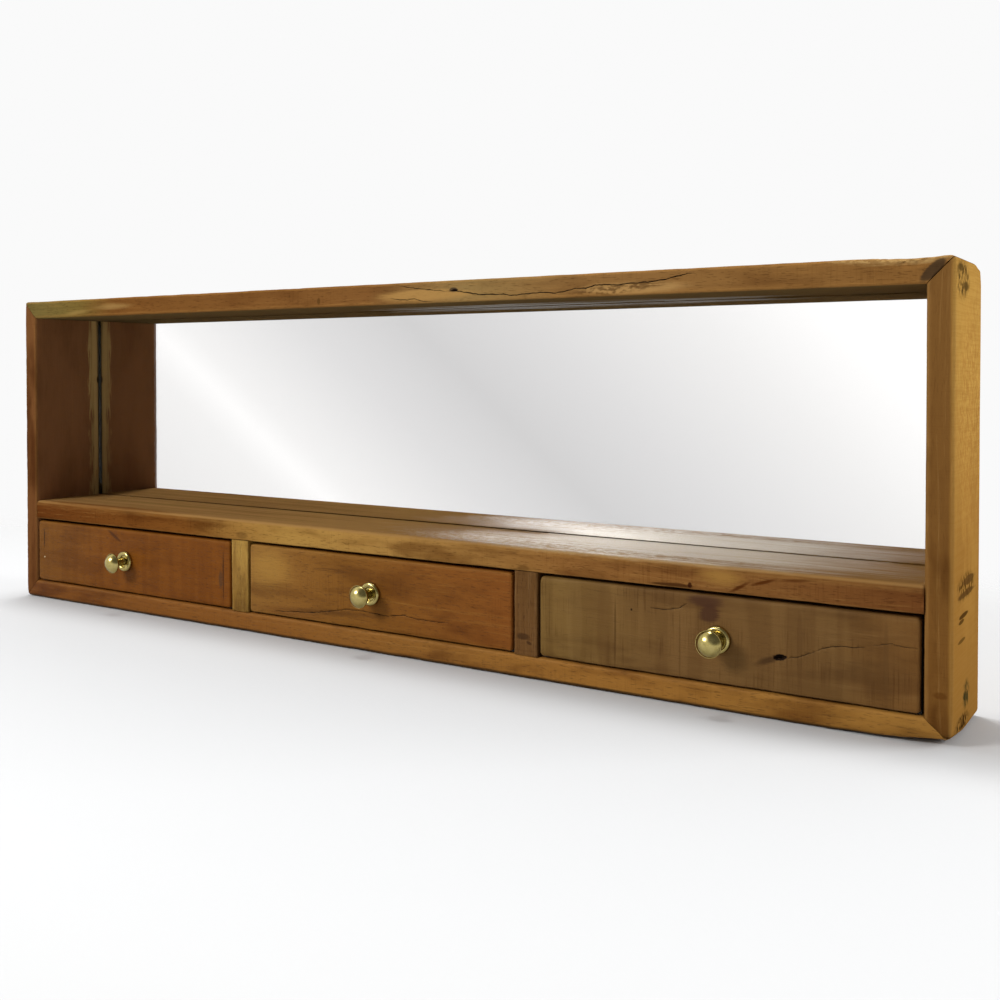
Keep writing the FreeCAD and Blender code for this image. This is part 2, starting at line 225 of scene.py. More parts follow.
# Planed pine left bare inside the drawers: pale, matt, with straight growth lines 2 to 3 mm apart.
def planedPine(name, alongAxis, pale, deep):
    material, tree = emptyMaterial(name)
    add = partial(addNode, tree)
    spot = add("TexCoord").outputs["Object"]
    size = [1 / (160 * mm) if i == alongAxis else 1 / (2.4 * mm) for i in range(3)]
    drawn = add("VectorMath", multiply, [spot, size])
    lines = add("TexNoise", {}, {"Vector": drawn, "Scale": 1.0, "Detail": 4.0, "Roughness": 0.6})
    cloud = add("TexNoise", {}, {"Vector": spot, "Scale": 1 / (45 * mm), "Detail": 2.0})
    both = add("Math", scaleAdd, [cloud, 0.5, lines])
    colour = add("ValToRGB", {}, [both], stops=((0.5, deep), (0.95, pale)))
    if alongAxis == 1:  # drawer sides: painted shade, nearly black, over the end let into the front, where the side shows in the gap beside the front
        fromFront = add("SeparateXYZ", {}, [add("TexCoord").outputs["Generated"]]).outputs["Y"]
        gapShade = add("MapRange", {}, [fromFront, 0.03, 0.06, 1.0, 0.0])
        colour = add("Mix", mixColour, {0: gapShade, 6: colour, 7: linear("1c1209")})
    rough = add("MapRange", {}, [lines, 0.3, 0.7, 0.72, 0.58])
    bump = add("Bump", {}, {"Strength": 0.35, "Distance": 0.0004, "Height": lines})
    finishMaterial(tree, {"Base Color": colour, "Roughness": rough, "Normal": bump})
    return material


# Turned brass, polished and lacquered: an olive yellow metal with faint turning rings and finger smears.
def polishedBrass():
    material, tree = emptyMaterial("polished_brass")
    add = partial(addNode, tree)
    spot = add("TexCoord").outputs["Object"]
    smear = add("TexNoise", {}, {"Vector": spot, "Scale": 1 / (7 * mm), "Detail": 3.0})  # smears 7 mm across
    grit = add("TexNoise", {}, {"Vector": spot, "Scale": 1 / (0.8 * mm), "Detail": 2.0})  # polishing grit, drawn coarse
    colour = add("ValToRGB", {}, [smear], stops=((0.3, "a09052"), (0.7, "b9a96d")))
    rough = add("MapRange", {}, [smear, 0.3, 0.7, 0.16, 0.27])
    bump = add("Bump", {}, {"Strength": 0.08, "Distance": 0.0002, "Height": grit})
    finishMaterial(tree, {"Base Color": colour, "Metallic": 1.0, "Roughness": rough, "Normal": bump})
    return material


# Zinc plated steel screws: grey with a dull spangle.
def zincSteel():
    material, tree = emptyMaterial("zinc_plated_steel")
    add = partial(addNode, tree)
    spot = add("TexCoord").outputs["Object"]
    spangle = add("TexNoise", {}, {"Vector": spot, "Scale": 1 / (1.2 * mm)})
    colour = add("ValToRGB", {}, [spangle], stops=((0.3, "98999a"), (0.7, "c2c4c3")))
    rough = add("MapRange", {}, [spangle, 0.3, 0.7, 0.32, 0.45])
    finishMaterial(tree, {"Base Color": colour, "Metallic": 1.0, "Roughness": rough})
    return material


# Float glass with ground edges: clear, with the faint green of its iron where it is seen edge on.
def floatGlass():
    material, tree = emptyMaterial("float_glass")
    finishMaterial(tree, {"Base Color": linear("fefefd"), "Roughness": 0.0, "IOR": 1.52, "Transmission Weight": 1.0})
    return material


# Silver laid on the rear of the glass: the mirror itself.
def silverCoat():
    material, tree = emptyMaterial("silver_coat")
    finishMaterial(tree, {"Base Color": linear("f5f4f4"), "Metallic": 1.0, "Roughness": 0.0})
    return material


# split wood painted nearly black, partly as shade inside cracks, knot holes and cuts
splitShadeMaterial = splitWoodShade()
pineMaterials = [planedPine("planed_pine_" + letter, i, "a8875a", "7c5b34") for i, letter in enumerate("xyz")]
plywoodMaterial = planedPine("sanded_plywood", 0, "bd9a6a", "93703f")
brassMaterial = polishedBrass()
steelMaterial = zincSteel()
glassMaterial = floatGlass()
silverMaterial = silverCoat()
print("materials made")


sharpAngle = math.radians(34)
hiddenPitch, facePitch = 4.0, 2.0  # mm between the points round a board's section
cutPast = 1.0  # mm that a cutter stands out of the board


def meshObject(name, bm, materials):
    mesh = bpy.data.meshes.new(name)
    bm.to_mesh(mesh)
    bm.free()
    piece = bpy.data.objects.new(name, mesh)
    bpy.context.scene.collection.objects.link(piece)
    for material in materials:
        mesh.materials.append(material)
    mesh.shade_smooth()
    mesh.set_sharp_from_angle(angle=sharpAngle)
    return piece


def stepsBetween(start, end, pitch):  # even steps, both ends included
    count = max(1, round(abs(end - start) / pitch))
    return [start + (end - start) * i / count for i in range(count + 1)]


def runOf(points, start, end, pitch):  # adds a straight run, without its end point
    count = max(1, round(math.dist(start, end) / pitch))
    for i in range(count):
        t = i / count
        points.append((start[0] + (end[0] - start[0]) * t, start[1] + (end[1] - start[1]) * t, 0.0))


def arcOf(points, centre, radius, fromDeg, toDeg, count):  # adds a rubbed arc, without its end point
    for i in range(count):
        turn = math.radians(fromDeg + (toDeg - fromDeg) * i / count)
        points.append((centre[0] + radius * math.cos(turn), centre[1] + radius * math.sin(turn), 1.0 if i else 0.6))


def sweptMesh(rows, wears):  # joins rows of points into a closed skin, and keeps each point's wear
    bm = bmesh.new()
    layer = bm.verts.layers.float.new("wear")
    made = []
    for row in rows:
        made.append([bm.verts.new(point) for point in row])
        for vert, wear in zip(made[-1], wears):
            vert[layer] = wear
    count = len(wears)
    for near, far in zip(made, made[1:]):
        for i in range(count):
            j = (i + 1) % count
            bm.faces.new((near[i], far[i], far[j], near[j]))
    caps = [bm.faces.new(made[0]), bm.faces.new(made[-1])]
    bmesh.ops.triangulate(bm, faces=caps)
    bmesh.ops.recalc_face_normals(bm, faces=bm.faces)
    return bm


# wear of every board: a slow ripple of the skin, and nibbled arrises, with depths and lengths in mm
skinWear = {"seedStep": (91.0, 17.0, 53.0), "ripple": 0.1, "rippleMm": 48.0, "nibble": 0.6, "slowMm": (30.0, 40.0),
            "quickMm": (7.0, 9.0)}


def weather(bm, seed, along, dents):  # presses the skin inwards, never outwards
    (slowLong, slowWide), (quickLong, quickWide) = skinWear["slowMm"], skinWear["quickMm"]
    shift = Vector(skinWear["seedStep"]) * seed
    layer = bm.verts.layers.float["wear"]
    bm.normal_update()
    moves = []
    for vert in bm.verts:
        p = vert.co / mm
        amount = skinWear["ripple"] * (1 + noise.noise((p + shift) / skinWear["rippleMm"]))
        pushed = Vector()  # wear over a mitre goes one way, so that both boards keep together
        if vert[layer] > 0:
            slow = max(0.0, noise.noise(Vector((p[along] / slowLong, seed * 3.1, p.y / slowWide))) + 0.15)
            quick = max(0.0, noise.noise(Vector((p[along] / quickLong, seed * 7.7, p.z / quickWide))))
            amount += vert[layer] * skinWear["nibble"] * (slow + 0.5 * quick)
        for dent in dents:
            away = sum(((p[i] - dent["at"][i]) / dent["half"][i]) ** 2 for i in range(3))
            if away < 1.0:
                coarse, fine = noise.noise(p / dent["grit"]), noise.noise(p / dent["grit"] * 2.3)
                rough = 1 + dent["rough"] * coarse + 0.5 * dent["rough"] * fine
                depth = dent["deep"] * (1 - away) * max(0.0, rough)
                if "push" in dent:
                    pushed += Vector(dent["push"]) * (depth * (1 - away) * mm)
                else:
                    amount += depth
        moves.append(pushed - vert.normal * (amount * mm))
    for vert, move in zip(bm.verts, moves):
        vert.co += move


def prismCutter(outline, fromY, toY):  # a straight cutter on an outline in x and z
    bm = bmesh.new()
    near = [bm.verts.new((x * mm, fromY * mm, z * mm)) for x, z in outline]
    far = [bm.verts.new((x * mm, toY * mm, z * mm)) for x, z in outline]
    bm.faces.new(near)
    bm.faces.new(far)
    for i in range(len(outline)):
        j = (i + 1) % len(outline)
        bm.faces.new((near[i], near[j], far[j], far[i]))
    bmesh.ops.recalc_face_normals(bm, faces=bm.faces)
    return bm


# cracks: lengths in mm, and over how many steps each end tapers
crackShape = {"pitch": 2.2, "wander": 0.7, "wanderMm": 3.5, "uneven": 0.55, "unevenMm": 6.0, "taperSteps": 5}


def crackCutter(path, faceY, wide, deep, seed):  # a wandering wedge that tapers at both ends
    size = crackShape
    points = []
    for (ax, az), (bx, bz) in zip(path, path[1:]):
        for t in stepsBetween(0.0, 1.0, size["pitch"] / max(size["pitch"], math.dist((ax, az), (bx, bz))))[:-1]:
            points.append(Vector((ax + (bx - ax) * t, az + (bz - az) * t)))
    points.append(Vector(path[-1]))
    for p in points:
        p.y += size["wander"] * noise.noise(Vector((p.x / size["wanderMm"], seed * 5.3, 0.0)))
    bm = bmesh.new()
    rings = []
    for i, p in enumerate(points):
        ahead = points[min(i + 1, len(points) - 1)] - points[max(i - 1, 0)]
        across = Vector((-ahead.y, ahead.x)).normalized()
        taper = min(1.0, min(i, len(points) - 1 - i) / size["taperSteps"] + 0.12)
        uneven = size["uneven"] * noise.noise(Vector((p.x / size["unevenMm"], seed * 2.7, 4.0)))
        half = 0.5 * wide * taper * (1 + uneven)
        bottom = faceY + deep * (0.35 + 0.65 * taper)
        corners = ((half, faceY - cutPast), (-half, faceY - cutPast), (-half * 0.3, bottom), (half * 0.3, bottom))
        rings.append([bm.verts.new(((p.x + across.x * s) * mm, y * mm, (p.y + across.y * s) * mm)) for s, y in corners])
    for near, far in zip(rings, rings[1:]):
        for i in range(4):
            bm.faces.new((near[i], far[i], far[(i + 1) % 4], near[(i + 1) % 4]))
    bm.faces.new(rings[0])
    bm.faces.new(rings[-1])
    bmesh.ops.recalc_face_normals(bm, faces=bm.faces)
    return bm


def knotCutter(knot, faceY):  # a ragged hollow, as a fallen knot leaves
    bm = bmesh.new()
    bmesh.ops.create_icosphere(bm, subdivisions=3, radius=1.0)
    turn = math.radians(knot["turnDeg"])
    for vert in bm.verts:
        p = vert.co * (1 + 0.3 * noise.noise(vert.co * 2.2))
        a, b = p.x * knot["half"][0], p.z * knot["half"][1]
        x = knot["x"] + a * math.cos(turn) - b * math.sin(turn)
        z = knot["z"] + a * math.sin(turn) + b * math.cos(turn)
        vert.co = Vector((x * mm, (faceY + p.y * knot["deep"]) * mm, z * mm))
    return bm


def capsule(x, lowZ, highZ, radius):  # outline of a round-ended slot
    turns = [math.pi * i / 12 for i in range(13)]
    upper = [(x + radius * math.cos(t), highZ + radius * math.sin(t)) for t in turns]
    return upper + [(x - radius * math.cos(t), lowZ - radius * math.sin(t)) for t in turns]


def cutBoard(piece, cutters, sockets=()):  # takes cutters and the CAD nodes that sit in sockets out of a board
    cutters = list(cutters)
    for node in sockets:
        bm = bmesh.new()
        bm.from_mesh(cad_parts[node].data)
        bmesh.ops.remove_doubles(bm, verts=bm.verts, dist=0.001 * mm)
        cutters.append(bm)
    made = []
    for bm in cutters:
        for face in bm.faces:
            face.material_index = 1  # a cut shows split wood, painted nearly black as shade of the hollow
        made.append(meshObject("cutter", bm, list(piece.data.materials)))
    for cutter in made:
        modifier = piece.modifiers.new("cut", "BOOLEAN")
        modifier.operation, modifier.solver, modifier.object = "DIFFERENCE", "MANIFOLD", cutter
    bpy.context.view_layer.update()
    solid = bpy.data.meshes.new_from_object(piece.evaluated_get(bpy.context.evaluated_depsgraph_get()))
    piece.modifiers.clear()
    piece.data = solid
    solid.shade_smooth()
    solid.set_sharp_from_angle(angle=sharpAngle)
    for cutter in made:
        bpy.data.objects.remove(cutter)


def boardPiece(node, bm, look, body, cutters=(), sockets=()):
    look = {**oiledLook, **look}
    weather(bm, look["seed"], 0 if look["order"][0] == "X" else 2, look["dents"])
    piece = meshObject(node + "_oiled", bm, [oiledBoard("oiled_" + node, look), splitShadeMaterial])
    if cutters or sockets:
        cutBoard(piece, cutters, sockets)
    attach(piece, body)
    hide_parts(node)
    return piece


# frame boards: one eased section, mitred at 45 degrees, with each outer corner rounded off by hand
frameShape = {"arris": 3.0, "topLeft": 4.0, "bottomLeft": 8.0, "bottomRight": 8.0, "topRight": 5.0, "glassStep": 3.5,
              "panelStep": 8.0, "rearArris": 0.8, "pitch": 2.5, "evenFrom": 9.5, "mitreGap": 0.2}

rearCornerWear = {"at": (600, 58, 403), "half": (34, 27, 24), "deep": 4.0,
                  "push": (-0.1, -0.6, -0.75), "rough": 0.08, "grit": 12.0}
lowCornerWear = {"at": (602, -57, -3), "half": (64, 62, 32), "deep": 4.4,
                 "push": (-0.35, 0.3, 0.85), "rough": 0.1, "grit": 14.0}
rightCornerWear = {"at": (604, -57, -3), "half": (115, 15, 11), "deep": 3.0, "rough": 0.25, "grit": 9.0}
topLook = {
    "seed": 1, "gloss": 0.0, "saw": 0.15, "rub": 0.25, "darkMost": 0.5, "stain": 0.35,
    "tones": ((0.0, "64572f"), (0.09, "685529"), (0.15, "6c4620"), (0.5, "744e28"), (0.6, "856b40"), (0.72, "805d34"),
              (1.0, "7c562b")),
    "marks": (
        blot((-420, 389, -55), (48, 6, 30), "957645", 0.6, soft=0.9),
        blot((-490, 383, -55), (34, 4, 30), "8f7440", 0.6, turn=4.0, soft=0.9),
        blot((70, 386, -55), (72, 7, 40), "a07a44", 0.8),
        blot((310, 384, -55), (70, 7, 40), "a27e4c", 0.75),
        blot((290, 383, -55), (56, 6, 40), "4a3018", 0.7, turn=4.0, grained="fleck"),
        blot((330, 387, -55), (26, 5, 30), "4e3116", 0.6, grained="fibre"),
        blot((110, 390, -55), (6, 3, 20), "2c2420", 0.8),
        blot((-73, 384, -55), (3, 5, 12), "4c3316", 0.7),
        blot((550, 401.5, -55), (62, 9, 20), "8c6c40", 0.75, torn=0.9, soft=0.25),
        blot((548, 401.5, -55), (66, 9, 20), "b08e5a", 0.7, grained="fleck"),
        # dark smudge at the mitre: partly darker end grain, partly painted shade of the worn hollow
        blot((582, 388, -55), (15, 5.5, 12), "403020", 0.9, turn=44.0, torn=0.4, soft=0.3),
        # painted shade: the underside of the top board given its own greyer, olive brown for the dim light under it
        blot((0, 376, 0), (2000, 1.6, 900), "5f4d30", 0.9, torn=0.1, soft=0.3),
        # painted sheen: a grey tint on the underside standing in for a reflection, with some real gloss
        blot((175, 377, 26), (260, 3, 30), "6e6450", 0.85, soft=0.8, gloss=0.35, rough=0.35, grained="streak"),
    ),
    "dents": (
        {"at": (562, -55, 400), "half": (28, 16, 10), "deep": 3.0, "rough": 0.9, "grit": 4.0},
        {"at": (300, -55, 386), "half": (60, 6, 7), "deep": 0.5, "rough": 1.6, "grit": 3.0},
        {"at": (586, -55, 389), "half": (14, 6, 11), "deep": 1.6, "rough": 0.6, "grit": 5.0},
        {"at": (-271, -55, 379), "half": (5, 4, 3), "deep": 1.2, "rough": 0.5, "grit": 2.0},
        rearCornerWear,
    ),
}
topCracks = (
    ([(100, 389.2), (112, 388.8), (127, 386.3), (141, 383.8), (159, 383.6), (171, 383.2), (180, 381.5), (195, 382.6),
      (213, 383.3), (230, 382.1), (241, 383.2), (252, 385.7), (264, 385.6), (274, 388.2), (285, 388.1), (301, 387.5),
      (315, 388.8), (329, 388.6), (340, 389.9), (350, 391.3), (363, 393.6), (375, 395.7)], 1.1, 3.0),
    ([(40, 396.5), (75, 391.5), (101, 388.6)], 0.7, 2.5),
    ([(27, 383.9), (42, 381.8), (52, 381.5), (60, 382.4), (70, 379.5), (80, 378.6)], 0.8, 2.5),
)
topKnot = {"x": 112.0, "z": 389.5, "half": (3.6, 1.3), "deep": 2.0, "turnDeg": 0.0}
bottomLook = {
    "seed": 2, "saw": 0.15, "rub": 0.15, "darkMost": 0.5,
    "tones": ((0.0, "6e3f12"), (0.3, "7b4c1d"), (0.55, "875a26"), (0.75, "95662c"), (1.0, "956a2f")),
    "marks": (
        # painted contact shadow: the lowest arris along the front painted nearly black where the board meets the floor
        blot((0, -0.6, -55), (2000, 5.2, 12), "150c06", 1.0, torn=0.2),
    ),
    "dents": (
        rightCornerWear,
        lowCornerWear,
    ),
}
leftLook = {
    "seed": 3, "order": "ZXY", "span": (0, 400), "gloss": 0.0, "saw": 0.2, "rub": 0.12, "darkMost": 0.45,
    "pores": 0.25,
    "tones": ((0.0, "603b1f"), (1.0, "674325")),
    "marks": (
        # painted light: the inner face of the left board painted lighter than the front, for light the dim niche does
        # not give it
        blot((200, -575, 0), (900, 3.2, 900), "8a5e3b", 0.85, torn=0.2),
        blot((200, -577, 49), (420, 12, 18), "b3935b", 0.85, soft=0.3, torn=1.7),
        blot((200, -577, 46), (420, 12, 14), "544223", 0.5, grained="streak"),
        # painted shade: a near-black line in the seam where the inner face meets the mirror glass, wider at a notch
        blot((200, -578.5, 48.6), (420, 5, 3.2), "15170e", 1.0, torn=0.1, soft=0.15),
        blot((294, -577, 46), (6, 4, 2.8), "15170e", 0.85, torn=0.5, soft=0.5),
    ),
}
rightLook = {
    "seed": 4, "order": "ZXY", "span": (0, 400), "gloss": 0.0, "saw": 0.12, "rub": 0.2, "darkMost": 0.3,
    "pores": 0.12, "light": "a8824c",
    "tones": ((0.0, "6c4820"), (1.0, "704e27")),
    "marks": (
        # outer face of the right board: a golden brown, partly the wood's own colour and partly painted light for the
        # stronger light on this side
        blot((200, 602, 0), (900, 7, 900), "926931", 0.95, torn=0.2),
        blot((330, 602, 10), (210, 7, 200), "b38b45", 0.9, torn=0.3, soft=0.8),
        blot((200, 602, 10), (900, 7, 900), "85591f", 0.2, torn=0.2, grained="saw"),
        blot((230, 602, 10), (210, 7, 90), "c99b4d", 0.2, grained="cloud"),
        blot((260, 602, 10), (150, 7, 90), "8a5826", 0.4, grained="fleck"),
        blot((382, 600, -24), (21, 6, 30), "4f3a1c", 1.0, torn=0.7, grained="fleck"),
        blot((377, 600, -14), (5, 6, 17), "57411f", 0.9, torn=1.0),
        blot((391, 600, -34), (4, 6, 14), "57411f", 0.9, torn=1.0),
        blot((125, 600, 0), (14, 6, 46), "4f3513", 1.0, torn=0.7, grained="fleck"),
        blot((129, 600, 10), (4.5, 6, 30), "54391a", 0.85, torn=0.9, soft=0.25),
        blot((119, 600, 2), (3.2, 6, 40), "54391a", 0.85, torn=0.9, soft=0.25),
        blot((102, 600, -12), (2.4, 6, 22), "40290f", 0.9, soft=0.25),
        blot((98, 600, -22), (2, 6, 13), "40290f", 0.8, soft=0.25),
        blot((82, 600, -20), (1.8, 6, 17), "553a17", 0.8, soft=0.25),
        blot((33, 600, 0), (15, 6, 18), "37321a", 1.0, torn=0.5, grained="fleck"),
        blot((31, 600, -2), (7, 6, 8), "37321a", 0.85, torn=1.2),
        blot((12, 600, -14), (9, 6, 36), "3d280f", 1.0, torn=0.6, grained="fleck"),
        blot((42.5, 590, -55), (3.5, 7, 12), "52300f", 0.6),
    ),
    "dents": (
        rightCornerWear,
        lowCornerWear,
        rearCornerWear,
    ),
}


def frameSection():
    size = frameShape
    points = []  # depth from the outer face, and y
    arris, rear, thick = size["arris"], size["rearArris"], boardThick
    runOf(points, (0, rearY - rear), (0, frontY + arris), hiddenPitch)
    arcOf(points, (arris, frontY + arris), arris, 180, 270, 6)
    runOf(points, (arris, frontY), (thick - arris, frontY), facePitch)
    arcOf(points, (thick - arris, frontY + arris), arris, 270, 360, 6)
    runOf(points, (thick, frontY + arris), (thick, glassFrontY), hiddenPitch)
    glassEdge, panelEdge = thick - size["glassStep"], thick - size["panelStep"]
    corners = [(thick, glassFrontY), (glassEdge, glassFrontY), (glassEdge, panelFrontY), (panelEdge, panelFrontY),
               (panelEdge, rearY), (rear, rearY), (0, rearY - rear)]
    for start, end in zip(corners, corners[1:]):
        runOf(points, start, end, hiddenPitch)
    return points


def cornerDrop(distance, radius):  # how far a round corner falls away, this far short of the sharp one
    inside = radius - distance
    return radius - math.sqrt(max(0.0, radius ** 2 - inside ** 2)) if inside > 0 else 0.0


def mitreEnd(half, depth, radius):  # how far along a board its mitre cuts this line of the section
    sunk = depth
    for _ in range(60):  # settles where the rounded skin meets the mitre
        sunk = 0.5 * sunk + 0.5 * (depth + cornerDrop(sunk, radius) * (1 - depth / boardThick))
    return half - sunk - frameShape["mitreGap"]


def frameBoardMesh(length, place, nearCorner, farCorner):
    section = frameSection()
    half = length / 2
    fine = [0.0, 0.6, 1.4, 2.4, 3.6, 5.2, 7.2]  # close steps next to the mitre
    evenHalf = half - frameShape["evenFrom"]
    middle = stepsBetween(-evenHalf, evenHalf, frameShape["pitch"])
    stations = [d - half for d in fine] + middle + [half - d for d in reversed(fine)]
    radii = [frameShape[farCorner if station > 0 else nearCorner] for station in stations]
    rows = []
    for station, radius in zip(stations, radii):
        row = []
        for depth, y, wear in section:
            a = station / half * mitreEnd(half, depth, radius)
            row.append(place(a, depth + cornerDrop(half - abs(a), radius) * (1 - depth / boardThick), y))
        rows.append(row)
    return sweptMesh(rows, [wear for depth, y, wear in section])


keyhole = {"x": 592.5, "z": 330.0, "entry": 4.5, "slot": 2.3, "rise": 12.0, "lip": 3.5, "deep": 9.0}


def keyholeCutters(side):
    x, z, size = side * keyhole["x"], keyhole["z"], keyhole
    top = z + size["rise"]
    return [prismCutter(capsule(x, z, z, size["entry"]), rearY - size["deep"], rearY + cutPast),
            prismCutter(capsule(x, z, top, size["slot"]), rearY - size["deep"], rearY + cutPast),
            prismCutter(capsule(x, z, top, size["entry"]), rearY - size["deep"], rearY - size["lip"])]


topCutters = [crackCutter(path, frontY, wide, deep, i + 1) for i, (path, wide, deep) in enumerate(topCracks)]
topCutters.append(knotCutter(topKnot, frontY))
topMesh = frameBoardMesh(caseWidth, lambda a, d, y: (a * mm, y * mm, (caseHeight - d) * mm), "topLeft", "topRight")
bottomMesh = frameBoardMesh(caseWidth, lambda a, d, y: (a * mm, y * mm, d * mm), "bottomLeft", "bottomRight")
leftMesh = frameBoardMesh(caseHeight, lambda a, d, y: ((d - caseWidth / 2) * mm, y * mm, (caseHeight / 2 + a) * mm),
                          "bottomLeft", "topLeft")
rightMesh = frameBoardMesh(caseHeight, lambda a, d, y: ((caseWidth / 2 - d) * mm, y * mm, (caseHeight / 2 + a) * mm),
                           "bottomRight", "topRight")
boardPiece("top_board", topMesh, topLook, "case", topCutters, ["mitre_tongues"])
boardPiece("bottom_board", bottomMesh, bottomLook, "case", (), ["mitre_tongues", "divider_dowels"])
boardPiece("left_board", leftMesh, leftLook, "case", keyholeCutters(-1), ["mitre_tongues", "shelf_dowels"])
boardPiece("right_board", rightMesh, rightLook, "case", keyholeCutters(1), ["mitre_tongues", "shelf_dowels"])
print("frame boards made")

# shelf and dividers
shelfShape = {"topRound": 6.0, "underArris": 2.0, "glassStep": 3.5, "pitch": 2.5}
dividerShape = {"arris": 1.5, "pitch": 2.5}
shelfLook = {
    "seed": 5, "gloss": 0.0, "saw": 0.2, "rub": 0.2, "darkMost": 0.5, "light": "a98046",
    "tones": ((0.0, "572e11"), (0.25, "6f441b"), (0.4, "9d783c"), (0.55, "97713b"), (0.7, "80572c"), (0.85, "744d27"),
              (1.0, "61391b")),
    "marks": (
        blot((0, 131.5, 0), (2000, 4, 900), "9b7545", 0.85, torn=0.3),
        blot((-430, 132, 12), (150, 5, 18), "8f7040", 0.7, grained="streak"),
        blot((-330, 132, 0), (330, 5, 60), "6d4c25", 0.5, grained="streak"),
        blot((-440, 132, -52), (170, 5, 16), "6b3f1b", 0.7, torn=0.7),
        blot((290, 132, 5), (330, 6, 80), "967448", 0.8, soft=0.8, gloss=0.05),
        # painted sheen: pale cream patches standing in for the reflection of the bright mirror and room on the shelf
        # top, where the gloss is also raised
        blot((330, 132, 26), (225, 6, 62), "bea478", 0.9, torn=0.5, soft=0.9, gloss=0.8, rough=0.28),
        blot((320, 132, -8), (265, 6, 95), "b09668", 0.8, soft=0.9, gloss=0.75, rough=0.28, grained="streak"),
        blot((260, 132, -20), (270, 6, 70), "b09668", 0.7, soft=0.9, gloss=0.75, rough=0.28, grained="fleck"),
        blot((150, 132, -42), (150, 6, 22), "6a4c28", 0.6, soft=1.0, grained="fleck", gloss=0.0),
        # painted shade: a dark line where the shelf top meets the mirror glass, with the gloss taken out
        blot((-60, 131.5, 47), (640, 4, 2.6), "2c2116", 0.85, torn=0.2, soft=0.5, gloss=0.0, rough=0.7),
        blot((400, 121, -55), (30, 10, 30), "9a7438", 0.6, torn=1.0, soft=0.9),
        blot((355, 109.5, -55), (24, 2.2, 20), "3a200d", 0.85),
        blot((372, 111, -55), (2.5, 3.5, 20), "2c1208", 0.9),
        blot((419, 113.5, -55), (15, 2.4, 20), "4a260d", 0.95, turn=30.0, soft=0.8),
        blot((442, 120.5, -55), (18, 2.2, 20), "4a260d", 0.95, turn=18.0, soft=0.8),
        blot((472, 124.8, -55), (24, 2, 20), "4a260d", 0.85, turn=5.0, soft=0.8),
        blot((-193.7, 113, -55), (11, 5, 20), "4a2f16", 0.4),
        blot((194, 110, -55), (9, 4, 20), "43290f", 0.5),
    ),
}
leftDividerLook = {
    "seed": 6, "order": "ZXY", "span": (20, 110), "light": "b69652", "saw": 0.2, "darkMost": 0.4, "rub": 0.2,
    "tones": ((0.0, "88672c"), (0.5, "987436"), (1.0, "9f7c3a")),
}
rightDividerLook = {
    "seed": 7, "order": "ZXY", "span": (20, 110), "light": "8a6a44", "streak": 0.6, "saw": 0.3, "rub": 0.2,
    "tones": ((0.0, "634322"), (1.0, "5b3d1d")),
    "marks": (
        blot((42, 194, -55), (4, 9, 20), "35200f", 0.7),
        blot((36, 201, -55), (2, 4, 20), "35200f", 0.7, turn=20.0),
    ),
}


def shelfMesh():
    low, high = [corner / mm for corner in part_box("shelf")]
    size = shelfShape
    points = []  # height and y round the section
    top, under, step = size["topRound"], size["underArris"], high.z - size["glassStep"]
    runOf(points, (low.z, high.y), (low.z, low.y + under), hiddenPitch)
    arcOf(points, (low.z + under, low.y + under), under, 180, 270, 4)
    runOf(points, (low.z + under, low.y), (high.z - top, low.y), facePitch)
    arcOf(points, (high.z - top, low.y + top), top, 270, 360, 8)
    runOf(points, (high.z, low.y + top), (high.z, glassFrontY), size["pitch"])
    for start, end in (((high.z, glassFrontY), (step, glassFrontY)), ((step, glassFrontY), (step, high.y)),
                       ((step, high.y), (low.z, high.y))):
        runOf(points, start, end, hiddenPitch)
    rows = [[(x * mm, y * mm, z * mm) for z, y, wear in points] for x in stepsBetween(low.x, high.x, size["pitch"])]
    return sweptMesh(rows, [wear for z, y, wear in points])


def dividerMesh(node):
    low, high = [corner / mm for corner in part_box(node)]
    arris = dividerShape["arris"]
    points = []  # x and y round the section
    runOf(points, (low.x, high.y), (low.x, low.y + arris), hiddenPitch)
    arcOf(points, (low.x + arris, low.y + arris), arris, 180, 270, 4)
    runOf(points, (low.x + arris, low.y), (high.x - arris, low.y), facePitch)
    arcOf(points, (high.x - arris, low.y + arris), arris, 270, 360, 4)
    runOf(points, (high.x, low.y + arris), (high.x, high.y), hiddenPitch)
    runOf(points, (high.x, high.y), (low.x, high.y), hiddenPitch)
    heights = stepsBetween(low.z, high.z, dividerShape["pitch"])
    rows = [[(x * mm, y * mm, z * mm) for x, y, wear in points] for z in heights]
    return sweptMesh(rows, [wear for x, y, wear in points])


boardPiece("shelf", shelfMesh(), shelfLook, "case", (), ["shelf_dowels", "divider_dowels"])
boardPiece("left_divider", dividerMesh("left_divider"), leftDividerLook, "case", (), ["divider_dowels"])
boardPiece("right_divider", dividerMesh("right_divider"), rightDividerLook, "case", (), ["divider_dowels"])
print("shelf and dividers made")

